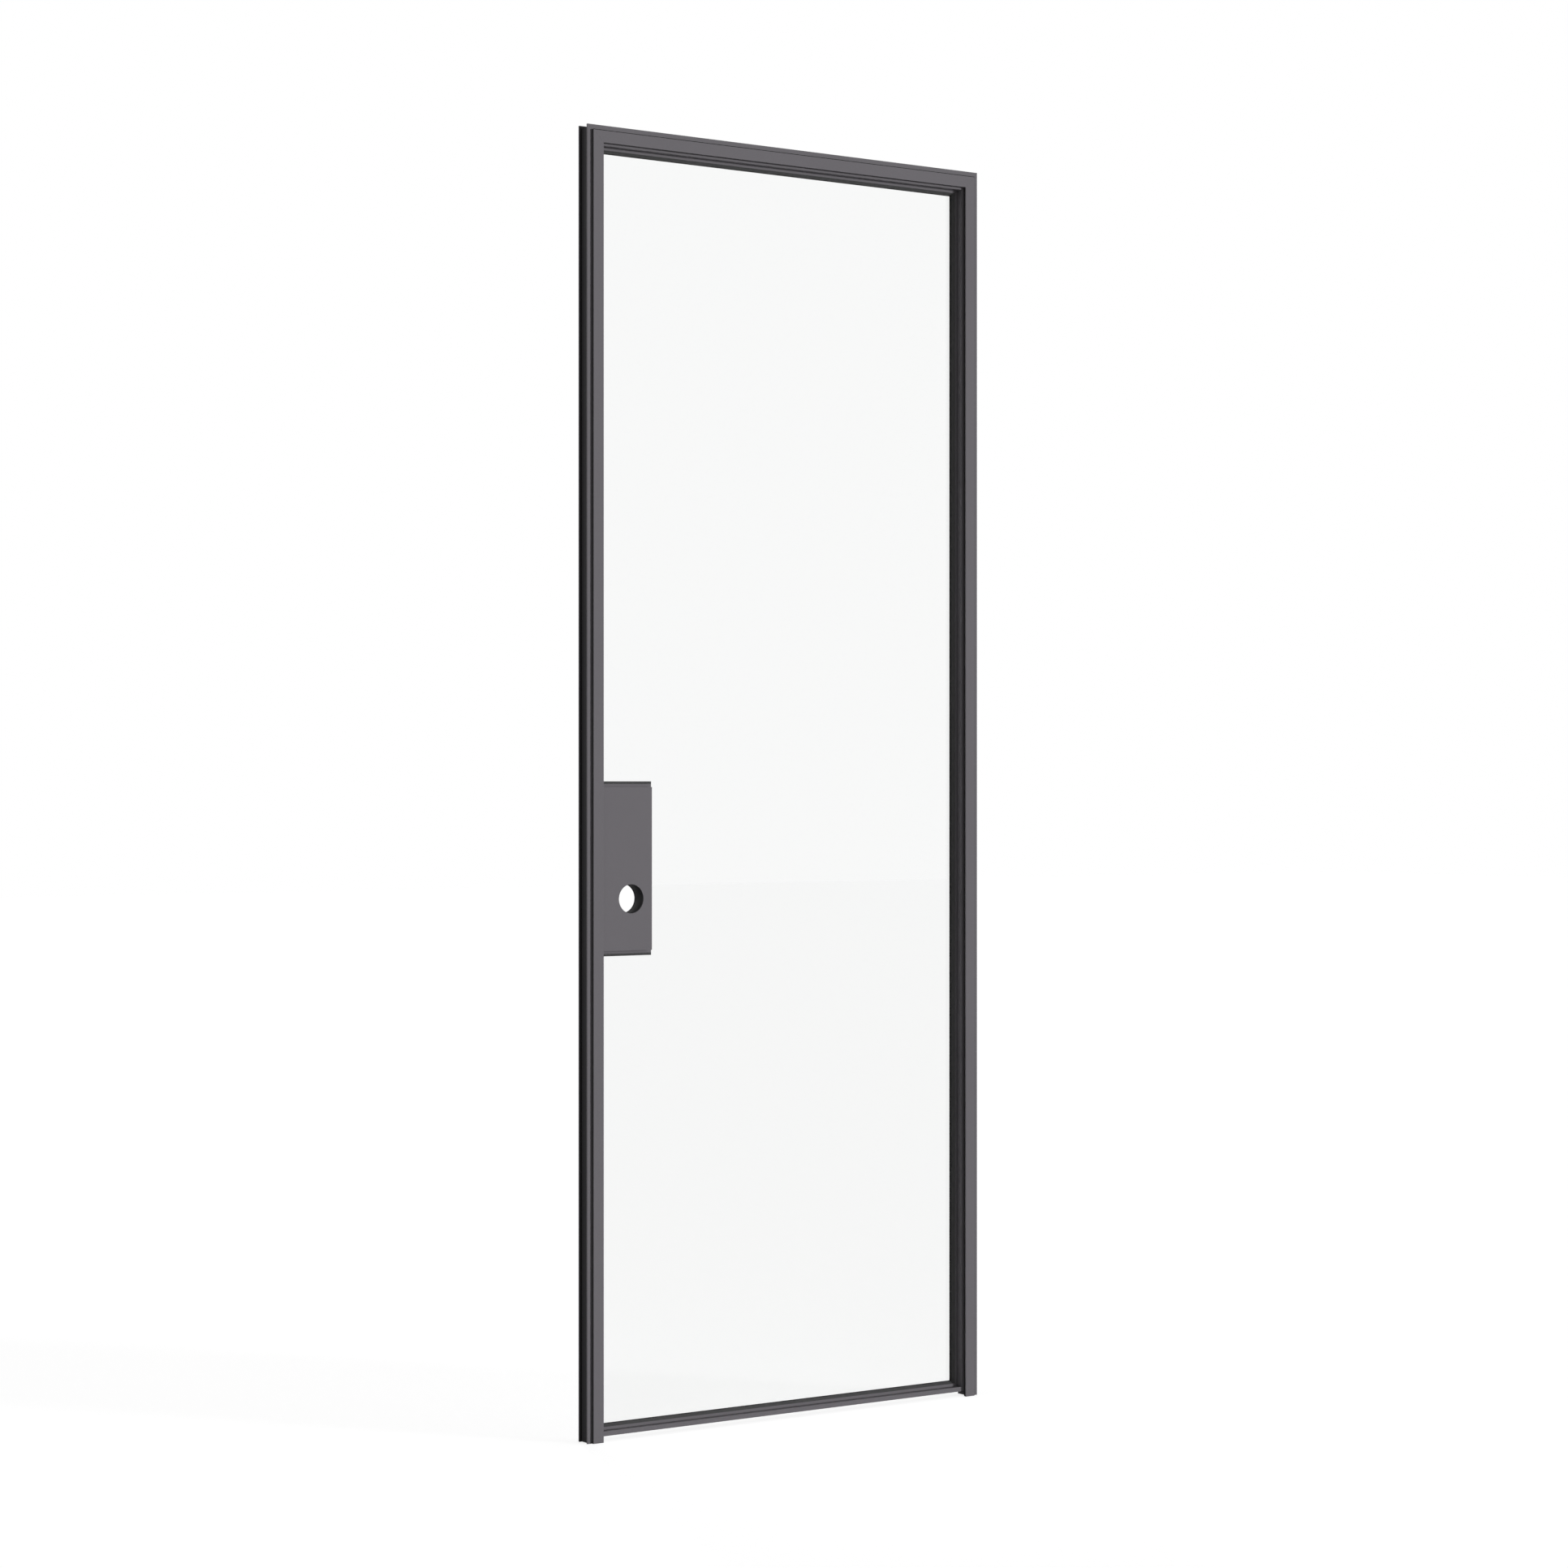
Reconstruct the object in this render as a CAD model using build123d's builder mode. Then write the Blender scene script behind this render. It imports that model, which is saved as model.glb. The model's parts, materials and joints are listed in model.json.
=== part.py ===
from build123d import *
import os

os.makedirs("parts", exist_ok=True)

# A glass interior door: a slim metal leaf with one pane, on butt hinges in a frame of two jambs and a head.
# +X is to the right of someone who faces the stop side, +Y leads through the doorway, +Z is up.
# The origin is at floor level, on the hinge jamb's face that meets the wall, in the middle of its throat.

# Overall frame, in millimetres
FRAME_WIDTH = 914.4
FRAME_HEIGHT = 2438.4

# Jambs and head: widths run inwards from the outer edge, depths run backwards from the raised face
FLANGE_SETBACK = 5.3
FRONT_FLANGE = 3.0
THROAT_WIDTH = 25.0
THROAT_DEPTH = 5.4
BACK_FLANGE = 3.4
BACK_RAISE = 2.9
FLANGE_REVEAL = 10.3
REBATE_ACROSS = 21.9

# Stop trims on the front of the jambs and head, and the rubber seals behind them
STOP_FACE = 22.1
STOP_THICKNESS = 3.2
SEAL_INSET = 0.8
SEAL_WIDTH = 3.0
SEAL_GAP = 0.3

# Leaf: the gaps around it, its setback behind the raised face and the width of its faces
EDGE_GAP = 6.0
FLOOR_GAP = 10.0
LEAF_SETBACK = 8.2
LEAF_FACE = 9.0

# Glazing: the sizes across run from the inner edge of the leaf's faces
GLASS_THICKNESS = 5.0
GLASS_EDGE_GAP = 3.0
GASKET_THICKNESS = 1.0
GASKET_EDGE_GAP = 4.0
BEAD_LIP = 5.5
BEAD_SLOPE = 5.0
FRONT_BEAD_DEPTH = 7.6
BACK_BEAD_DEPTH = 3.3

# Lock case, its covers and its bores
CASE_WIDTH = 108.0
CASE_HEIGHT = 304.8
CASE_BOTTOM = 908.6
COVER_THICKNESS = 3.0
COVER_EDGE_LAND = 0.5
LOCK_BORE_RADIUS = 26.99
BORE_ABOVE_CASE_BOTTOM = 96.4
BACKSET = 69.85
LATCH_BORE_RADIUS = 11.1

# Recess for a latch faceplate, and the strike that the latch meets
FACEPLATE_WIDTH = 25.4
FACEPLATE_HEIGHT = 57.2
FACEPLATE_DEPTH = 2.4
STRIKE_THICKNESS = 2.0
STRIKE_FIT = 0.1
POCKET_WIDTH = 16.0
POCKET_HEIGHT = 26.0
POCKET_WALL = 3.5

# Butt hinges
HINGE_COUNT = 4
HINGE_HEIGHT = 101.6
LOWEST_HINGE = 304.8
HIGHEST_HINGE_DROP = 177.8
HINGE_PLATE = 2.0
HINGE_PLATE_WIDTH = 26.0
KNUCKLE_RADIUS = 6.0
KNUCKLE_CLEARANCE = 1.0
KNUCKLE_COUNT = 5
KNUCKLE_GAP = 0.4
PIN_RADIUS = 3.0
PIN_CLEARANCE = 0.05
PIN_HEAD_RADIUS = 4.5
PIN_HEAD_HEIGHT = 2.5

# Lines of the frame
x_right = THROAT_DEPTH
x_left = x_right - FRAME_WIDTH
throat_front = FLANGE_SETBACK + FRONT_FLANGE
throat_back = throat_front + THROAT_WIDTH
flange_back = throat_back + BACK_FLANGE
frame_back = flange_back + BACK_RAISE
y_front = -(throat_front + throat_back) / 2
y_back = y_front + frame_back
stop_edge = FLANGE_REVEAL + STOP_FACE

# Lines of the leaf: its outer edges, and the inner edges of its faces
leaf_inset = REBATE_ACROSS + EDGE_GAP
leaf_left = x_left + leaf_inset
leaf_right = x_right - leaf_inset
leaf_top = FRAME_HEIGHT - leaf_inset
face_left = leaf_left + LEAF_FACE
face_right = leaf_right - LEAF_FACE
face_top = leaf_top - LEAF_FACE
face_bottom = FLOOR_GAP + LEAF_FACE

# Depths in the leaf, stacked forwards from its back, which is in line with the back of the frame
back_bead_front = frame_back - BACK_BEAD_DEPTH
glass_back = back_bead_front - GASKET_THICKNESS
glass_front = glass_back - GLASS_THICKNESS
front_bead_back = glass_front - GASKET_THICKNESS
front_bead_front = front_bead_back - FRONT_BEAD_DEPTH
bead_reach = BEAD_LIP + BEAD_SLOPE
latch_depth = (LEAF_SETBACK + frame_back) / 2

# Lines of the lock case
case_right = face_left + CASE_WIDTH
case_top = CASE_BOTTOM + CASE_HEIGHT
bore_x = leaf_left + BACKSET
bore_z = CASE_BOTTOM + BORE_ABOVE_CASE_BOTTOM

# Line of the hinge pins
pin_x = leaf_right + EDGE_GAP / 2
pin_y = y_back + KNUCKLE_CLEARANCE + KNUCKLE_RADIUS


# Planes for the four sides of a rectangle: the sketch's first direction leads inwards, its second backwards
def left_side(x, z):
    """A run upwards from a point."""
    return Plane(origin=(x, y_front, z), x_dir=(1, 0, 0), z_dir=(0, 0, 1))


def right_side(x, z):
    """A run downwards from a point."""
    return Plane(origin=(x, y_front, z), x_dir=(-1, 0, 0), z_dir=(0, 0, -1))


def top_side(x, z):
    """A run to the right from a point."""
    return Plane(origin=(x, y_front, z), x_dir=(0, 0, -1), z_dir=(1, 0, 0))


def bottom_side(x, z):
    """A run to the left from a point."""
    return Plane(origin=(x, y_front, z), x_dir=(0, 0, 1), z_dir=(-1, 0, 0))


def mitre(x, z, across, up):
    """The cut through a corner, as a plane that faces along (across, up)."""
    return Plane(origin=(x, 0, z), z_dir=(across, 0, up))


def depth_plane(depth):
    """A plane across the doorway at a depth. It faces the front, with the sketch's Y upwards."""
    return Plane(origin=(0, y_front + depth, 0), x_dir=(1, 0, 0), z_dir=(0, -1, 0))


def edge_plane(x):
    """A plane along the leaf's edge that faces the middle of the leaf, centred on the latch."""
    return Plane(origin=(x, y_front + latch_depth, bore_z), x_dir=(0, 1, 0), z_dir=(1, 0, 0))


# Rectangles drawn on a depth plane
def door_rectangle(left, right, bottom, top, mode=Mode.ADD):
    with Locations(((left + right) / 2, (bottom + top) / 2)):
        Rectangle(right - left, top - bottom, mode=mode)


def glazing_rectangle(inset, mode=Mode.ADD):
    """The inner edges of the leaf's faces, moved inwards."""
    door_rectangle(face_left + inset, face_right - inset, face_bottom + inset, face_top - inset, mode)


def case_rectangle(left, reach, mode=Mode.ADD):
    """From a line on the left to the lock case's three free edges, moved outwards."""
    door_rectangle(left, case_right + reach, CASE_BOTTOM - reach, case_top + reach, mode)


def lock_bore_circle(mode=Mode.ADD):
    with Locations((bore_x, bore_z)):
        Circle(LOCK_BORE_RADIUS, mode=mode)


def keep_part(piece, label):
    """Name a finished piece and write it."""
    piece.part.label = label
    export_step(piece.part, f"parts/{label}.step")


def make_bar(label, plane, length, outline, mitres=()):
    """A straight bar of one section, with its ends cut by mitre planes."""
    with BuildPart() as bar:
        with BuildSketch(plane):
            with BuildLine():
                Polyline(*outline, close=True)
            make_face()
        extrude(amount=length)
        for cut, side in mitres:
            split(bisect_by=cut, keep=side)
    keep_part(bar, label)


# Section of the jambs and the head, with the open throat that takes the edge of the wall
jamb_outline = [
    (0, FLANGE_SETBACK),
    (REBATE_ACROSS, FLANGE_SETBACK),
    (REBATE_ACROSS, frame_back),
    (FLANGE_REVEAL, frame_back),
    (FLANGE_REVEAL, flange_back),
    (0, flange_back),
    (0, throat_back),
    (THROAT_DEPTH, throat_back),
    (THROAT_DEPTH, throat_front),
    (0, throat_front),
]

# Section of the stop trims: a plate that steps back to sit on the jamb
stop_outline = [
    (FLANGE_REVEAL, 0),
    (stop_edge, 0),
    (stop_edge, STOP_THICKNESS),
    (REBATE_ACROSS, STOP_THICKNESS),
    (REBATE_ACROSS, FLANGE_SETBACK),
    (FLANGE_REVEAL, FLANGE_SETBACK),
]

# Section of the seals, which end just short of the leaf
seal_outer = stop_edge - SEAL_INSET - SEAL_WIDTH
seal_inner = stop_edge - SEAL_INSET
seal_outline = [
    (seal_outer, STOP_THICKNESS),
    (seal_inner, STOP_THICKNESS),
    (seal_inner, LEAF_SETBACK - SEAL_GAP),
    (seal_outer, LEAF_SETBACK - SEAL_GAP),
]

# Hinge side, head and strike side of the frame
frame_top_left = mitre(x_left, FRAME_HEIGHT, 1, 1)
frame_top_right = mitre(x_right, FRAME_HEIGHT, -1, 1)
hinge_run = (right_side(x_right, FRAME_HEIGHT), FRAME_HEIGHT)
head_run = (top_side(x_left, FRAME_HEIGHT), FRAME_WIDTH)
strike_run = (left_side(x_left, 0), FRAME_HEIGHT)
hinge_cuts = [(frame_top_right, Keep.BOTTOM)]
head_cuts = [(frame_top_left, Keep.TOP), (frame_top_right, Keep.TOP)]
strike_cuts = [(frame_top_left, Keep.BOTTOM)]

make_bar("hinge_jamb", *hinge_run, jamb_outline, hinge_cuts)
make_bar("head_jamb", *head_run, jamb_outline, head_cuts)
for trim, outline in (("stop", stop_outline), ("seal", seal_outline)):
    make_bar(f"hinge_{trim}", *hinge_run, outline, hinge_cuts)
    make_bar(f"head_{trim}", *head_run, outline, head_cuts)
    make_bar(f"strike_{trim}", *strike_run, outline, strike_cuts)

# Strike jamb, with a seat for the strike plate and a pocket for the latch
strike_face = x_left + REBATE_ACROSS
pocket_depth = REBATE_ACROSS - STRIKE_THICKNESS - THROAT_DEPTH - POCKET_WALL
with BuildPart() as strike_jamb:
    with BuildSketch(strike_run[0]):
        with BuildLine():
            Polyline(*jamb_outline, close=True)
        make_face()
    extrude(amount=FRAME_HEIGHT)
    split(bisect_by=frame_top_left, keep=Keep.BOTTOM)
    with BuildSketch(edge_plane(strike_face)):
        Rectangle(FACEPLATE_WIDTH + 2 * STRIKE_FIT, FACEPLATE_HEIGHT + 2 * STRIKE_FIT)
    extrude(amount=-STRIKE_THICKNESS, mode=Mode.SUBTRACT)
    with BuildSketch(edge_plane(strike_face - STRIKE_THICKNESS)):
        Rectangle(POCKET_WIDTH, POCKET_HEIGHT)
    extrude(amount=-pocket_depth, mode=Mode.SUBTRACT)
keep_part(strike_jamb, "strike_jamb")

with BuildPart() as strike_plate:
    with BuildSketch(edge_plane(strike_face)):
        Rectangle(FACEPLATE_WIDTH, FACEPLATE_HEIGHT)
        Rectangle(POCKET_WIDTH, POCKET_HEIGHT, mode=Mode.SUBTRACT)
    extrude(amount=-STRIKE_THICKNESS)
keep_part(strike_plate, "strike_plate")

# Stiles from the bottom to the top of the leaf, and rails between them
leaf_outline = [
    (0, LEAF_SETBACK),
    (LEAF_FACE, LEAF_SETBACK),
    (LEAF_FACE, frame_back),
    (0, frame_back),
]
stile_length = leaf_top - FLOOR_GAP
glazing_width = face_right - face_left
glazing_height = face_top - face_bottom
make_bar("hinge_stile", right_side(leaf_right, leaf_top), stile_length, leaf_outline)
make_bar("top_rail", top_side(face_left, leaf_top), glazing_width, leaf_outline)
make_bar("bottom_rail", bottom_side(face_right, FLOOR_GAP), glazing_width, leaf_outline)

# Strike stile, with a recess for the latch's faceplate and a bore for the latch
with BuildPart() as strike_stile:
    with BuildSketch(left_side(leaf_left, FLOOR_GAP)):
        with BuildLine():
            Polyline(*leaf_outline, close=True)
        make_face()
    extrude(amount=stile_length)
    with BuildSketch(edge_plane(leaf_left)):
        Rectangle(FACEPLATE_WIDTH, FACEPLATE_HEIGHT)
    extrude(amount=FACEPLATE_DEPTH, mode=Mode.SUBTRACT)
    with BuildSketch(edge_plane(leaf_left)):
        Circle(LATCH_BORE_RADIUS)
    extrude(amount=LEAF_FACE, mode=Mode.SUBTRACT)
keep_part(strike_stile, "strike_stile")

# Sections of the glazing beads: a flat lip and a slope down to the glass on each face
front_bead_outline = [
    (0, front_bead_front),
    (BEAD_LIP, front_bead_front),
    (bead_reach, front_bead_back),
    (0, front_bead_back),
]
back_bead_outline = [
    (0, back_bead_front),
    (bead_reach, back_bead_front),
    (BEAD_LIP, frame_back),
    (0, frame_back),
]

# Cuts through the glazing's corners, and through the corners where the lock case meets the stile
cut_top_left = mitre(face_left, face_top, 1, 1)
cut_top_right = mitre(face_right, face_top, -1, 1)
cut_bottom_left = mitre(face_left, face_bottom, 1, -1)
cut_bottom_right = mitre(face_right, face_bottom, -1, -1)
cut_above_case = mitre(face_left, case_top, 1, -1)
cut_below_case = mitre(face_left, CASE_BOTTOM, 1, 1)

# Runs of bead: name, plane, length and mitres
bead_runs = (
    (
        "top",
        top_side(face_left, face_top),
        glazing_width,
        [(cut_top_left, Keep.TOP), (cut_top_right, Keep.TOP)],
    ),
    (
        "bottom",
        bottom_side(face_right, face_bottom),
        glazing_width,
        [(cut_bottom_left, Keep.TOP), (cut_bottom_right, Keep.TOP)],
    ),
    (
        "hinge",
        right_side(face_right, face_top),
        glazing_height,
        [(cut_top_right, Keep.BOTTOM), (cut_bottom_right, Keep.BOTTOM)],
    ),
    (
        "strike_upper",
        left_side(face_left, case_top),
        face_top - case_top,
        [(cut_top_left, Keep.BOTTOM), (cut_above_case, Keep.BOTTOM)],
    ),
    (
        "strike_lower",
        left_side(face_left, face_bottom),
        CASE_BOTTOM - face_bottom,
        [(cut_bottom_left, Keep.BOTTOM), (cut_below_case, Keep.BOTTOM)],
    ),
)
for run_name, run_plane, run_length, run_cuts in bead_runs:
    make_bar(f"{run_name}_front_bead", run_plane, run_length, front_bead_outline, run_cuts)
    make_bar(f"{run_name}_back_bead", run_plane, run_length, back_bead_outline, run_cuts)


def make_case_bead(label, lip_depth, glass_depth):
    """The bead around three sides of the lock case, from its lip to the glass."""
    with BuildPart() as bead:
        with BuildSketch(depth_plane(lip_depth)):
            case_rectangle(face_left, BEAD_LIP)
        with BuildSketch(depth_plane(glass_depth)):
            case_rectangle(face_left, bead_reach)
        loft()
        with BuildSketch(depth_plane(max(lip_depth, glass_depth))):
            case_rectangle(face_left, 0)
        extrude(amount=abs(lip_depth - glass_depth), mode=Mode.SUBTRACT)
        split(bisect_by=cut_above_case, keep=Keep.TOP)
        split(bisect_by=cut_below_case, keep=Keep.TOP)
    keep_part(bead, label)


make_case_bead("lock_front_bead", front_bead_front, front_bead_back)
make_case_bead("lock_back_bead", frame_back, back_bead_front)

# Glass, notched around the lock case
with BuildPart() as glass_pane:
    with BuildSketch(depth_plane(glass_back)):
        glazing_rectangle(GLASS_EDGE_GAP)
        case_rectangle(face_left, GLASS_EDGE_GAP, Mode.SUBTRACT)
    extrude(amount=GLASS_THICKNESS)
keep_part(glass_pane, "glass_pane")

# Gaskets on both faces of the glass, around the pane and its notch
for gasket_name, gasket_back in (("front_gasket", glass_front), ("back_gasket", back_bead_front)):
    with BuildPart() as gasket:
        with BuildSketch(depth_plane(gasket_back)):
            glazing_rectangle(GASKET_EDGE_GAP)
            glazing_rectangle(bead_reach, Mode.SUBTRACT)
            case_rectangle(face_left + GASKET_EDGE_GAP, bead_reach)
            case_rectangle(face_left, GASKET_EDGE_GAP, Mode.SUBTRACT)
        extrude(amount=GASKET_THICKNESS)
    keep_part(gasket, gasket_name)

# Lock case, bored across for the lock and from the edge for the latch
with BuildPart() as lock_case:
    with BuildSketch(depth_plane(frame_back - COVER_THICKNESS)):
        case_rectangle(face_left, 0)
        lock_bore_circle(Mode.SUBTRACT)
    extrude(amount=frame_back - LEAF_SETBACK - 2 * COVER_THICKNESS)
    with BuildSketch(edge_plane(face_left)):
        Circle(LATCH_BORE_RADIUS)
    extrude(amount=bore_x - face_left, mode=Mode.SUBTRACT)
keep_part(lock_case, "lock_case")

# Covers of the lock case, in line with the leaf's faces and rounded along their free edge
for cover_name, cover_back, round_at in (
    ("lock_cover_front", LEAF_SETBACK + COVER_THICKNESS, 0),
    ("lock_cover_back", frame_back, -1),
):
    with BuildPart() as cover:
        with BuildSketch(depth_plane(cover_back)):
            case_rectangle(face_left, 0)
            lock_bore_circle(Mode.SUBTRACT)
        extrude(amount=COVER_THICKNESS)
        free_edges = cover.edges().filter_by(Axis.Z).group_by(Axis.X)[-1]
        fillet(free_edges.sort_by(Axis.Y)[round_at], COVER_THICKNESS - COVER_EDGE_LAND)
    keep_part(cover, cover_name)

# Butt hinges: plates in the gap beside the leaf, with knuckles around a pin behind it
knuckle_pitch = HINGE_HEIGHT / KNUCKLE_COUNT
knuckle_length = knuckle_pitch - KNUCKLE_GAP


def make_hinge_leaf(label, middle, plate_x, knuckle_numbers):
    with BuildPart() as hinge_leaf:
        with Locations((plate_x, y_back - HINGE_PLATE_WIDTH / 2, middle)):
            Box(HINGE_PLATE, HINGE_PLATE_WIDTH, HINGE_HEIGHT)
        for number in knuckle_numbers:
            knuckle_z = middle + (number - (KNUCKLE_COUNT - 1) / 2) * knuckle_pitch
            with Locations((plate_x, (y_back + pin_y) / 2, knuckle_z)):
                Box(HINGE_PLATE, pin_y - y_back, knuckle_length)
            with Locations((pin_x, pin_y, knuckle_z)):
                Cylinder(KNUCKLE_RADIUS, knuckle_length)
        with Locations((pin_x, pin_y, middle)):
            Cylinder(PIN_RADIUS + PIN_CLEARANCE, HINGE_HEIGHT, mode=Mode.SUBTRACT)
    keep_part(hinge_leaf, label)


frame_plate_x = leaf_right + EDGE_GAP - HINGE_PLATE / 2
leaf_plate_x = leaf_right + HINGE_PLATE / 2
highest_hinge = leaf_top - HIGHEST_HINGE_DROP
hinge_step = (highest_hinge - LOWEST_HINGE) / (HINGE_COUNT - 1)
for hinge in range(HINGE_COUNT):
    hinge_z = LOWEST_HINGE + hinge * hinge_step
    make_hinge_leaf(f"hinge_{hinge + 1}_frame_plate", hinge_z, frame_plate_x, range(0, KNUCKLE_COUNT, 2))
    make_hinge_leaf(f"hinge_{hinge + 1}_leaf_plate", hinge_z, leaf_plate_x, range(1, KNUCKLE_COUNT, 2))
    with BuildPart() as pin:
        with Locations((pin_x, pin_y, hinge_z)):
            Cylinder(PIN_RADIUS, HINGE_HEIGHT)
        with Locations((pin_x, pin_y, hinge_z + HINGE_HEIGHT / 2)):
            Cylinder(PIN_HEAD_RADIUS, PIN_HEAD_HEIGHT, align=(Align.CENTER, Align.CENTER, Align.MIN))
    keep_part(pin, f"hinge_{hinge + 1}_pin")
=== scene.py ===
import json
import math

import bmesh
import bpy
from bpy.props import FloatProperty, FloatVectorProperty, IntProperty, PointerProperty
from mathutils import Matrix, Vector


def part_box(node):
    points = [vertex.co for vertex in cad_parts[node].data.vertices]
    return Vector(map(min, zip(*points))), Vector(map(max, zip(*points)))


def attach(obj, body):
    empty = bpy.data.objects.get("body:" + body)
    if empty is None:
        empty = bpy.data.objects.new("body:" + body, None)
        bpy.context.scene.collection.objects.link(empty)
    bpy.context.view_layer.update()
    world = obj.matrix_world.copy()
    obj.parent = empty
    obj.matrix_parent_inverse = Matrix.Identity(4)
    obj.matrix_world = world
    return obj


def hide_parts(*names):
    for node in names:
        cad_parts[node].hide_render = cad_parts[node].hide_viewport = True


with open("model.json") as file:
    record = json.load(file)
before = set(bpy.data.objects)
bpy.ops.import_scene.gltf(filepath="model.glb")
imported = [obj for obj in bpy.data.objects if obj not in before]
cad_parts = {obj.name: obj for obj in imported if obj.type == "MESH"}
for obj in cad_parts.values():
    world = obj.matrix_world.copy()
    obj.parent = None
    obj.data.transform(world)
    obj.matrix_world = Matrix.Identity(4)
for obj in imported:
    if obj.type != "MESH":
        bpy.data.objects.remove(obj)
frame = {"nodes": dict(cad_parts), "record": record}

bl_info = {
    "name": "Glass Interior Door",
    "version": (1, 0, 0),
    "blender": (4, 5, 0),
    "location": "View3D > Sidebar > Door",
    "description": "Finishes a glass door in a slim metal frame and sets up its studio",
    "category": "Object",
}

# One millimetre in the frame's metres
MM = 0.001

NODES = frame["nodes"]

# Pieces that share a finish
BEAD_RUNS = ("top", "bottom", "hinge", "strike_upper", "strike_lower", "lock")
FRAME_METAL = (
    "hinge_jamb",
    "head_jamb",
    "strike_jamb",
    "hinge_stop",
    "head_stop",
    "strike_stop",
)
LEAF_METAL = ("hinge_stile", "strike_stile", "top_rail", "bottom_rail")
BEADS = tuple(f"{run}_{face}_bead" for run in BEAD_RUNS for face in ("front", "back"))
CASE_METAL = ("lock_case", "lock_cover_front", "lock_cover_back")
SEALS = ("strike_seal", "head_seal", "hinge_seal")
GASKETS = ("front_gasket", "back_gasket")

# Numbers of the hinges
HINGES = sorted(
    int(name.split("_")[1])
    for name in NODES
    if name.startswith("hinge_") and name.endswith("_pin")
)

# Half the width of the channel that takes the wall, with a little to spare
THROAT_HALF_WIDTH = 12.6 * MM

# How far the painted shade reaches past the bottom of that channel
THROAT_SLACK = 0.2 * MM

# How far the painted shade reaches past the wall of the bore
BORE_SLACK = 0.1 * MM

# Corners nearer than this are joined
WELD_DISTANCE = 0.01 * MM

# Metal edges that turn by more than this are rounded
ROUNDED_TURN = math.radians(40)

# Distance of the painted shade strip behind the front of the stop trims
SHADE_STRIP_SETBACK = 1.3 * MM

# Rounding of the painted shade strip's edges
SHADE_STRIP_EDGE = 0.12 * MM

# Foot of a bulb seal, as a share of its depth
SEAL_FOOT = 0.3

# Half the neck of a bulb seal, as a share of its width
SEAL_NECK = 0.28

# Flat sides that a bulb is made of
SEAL_SIDES = 22

# Thickness of a hinge plate, which lies on the face of the jamb or the stile
HINGE_PLATE = 2.0 * MM

# Screws of a hinge plate: height from its middle, and distance from its front edge
HINGE_SCREWS = (
    (-40 * MM, 7 * MM),
    (-15 * MM, 17 * MM),
    (15 * MM, 7 * MM),
    (40 * MM, 17 * MM),
)

# Distance of the strike plate's screws from its ends
STRIKE_SCREW_MARGIN = 7.0 * MM

# Turn of each screw from the one before
SCREW_TURN = math.radians(37)

# Height of a screw's dome, as a share of its radius
SCREW_DOME = 0.16

# Depth of the cross recess in its middle, as a share of the radius
CROSS_DEPTH = 0.3

# Reach of the cross's arms, as a share of the radius
CROSS_REACH = 0.62

# Radius in which the arms meet, as a share of the screw's radius
CROSS_CORE = 0.2

# Number of arms
CROSS_ARMS = 4

# Half the width of an arm, as a share of the angle from one arm to the next
CROSS_HALF_ARM = 0.14

# Rings of corners from the middle of a screw to its rim, as shares of the radius
SCREW_RINGS = (0.0, 0.14, 0.3, CROSS_REACH - 0.02, CROSS_REACH + 0.02, 0.8, 0.94, 1.0)

# Distance at which the lamps are placed, which doesn't change their light
LAMP_DISTANCE = 8.0

# From here to 1 the room brightens: 1 points to the main light and -1 away from it
ROOM_EDGE = -0.3

# From here to 1 reflections brighten: 1 is in line with the main light and 0 at right angles
MIRROR_EDGE = 0.3

# Types of a node group's sockets
COLOUR = "NodeSocketColor"
NUMBER = "NodeSocketFloat"
VECTOR = "NodeSocketVector"

# What the node groups send out
SURFACE_OUTPUTS = (("Colour", COLOUR), ("Roughness", NUMBER), ("Normal", VECTOR))
MASK_OUTPUTS = (("Mask", NUMBER),)


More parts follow.
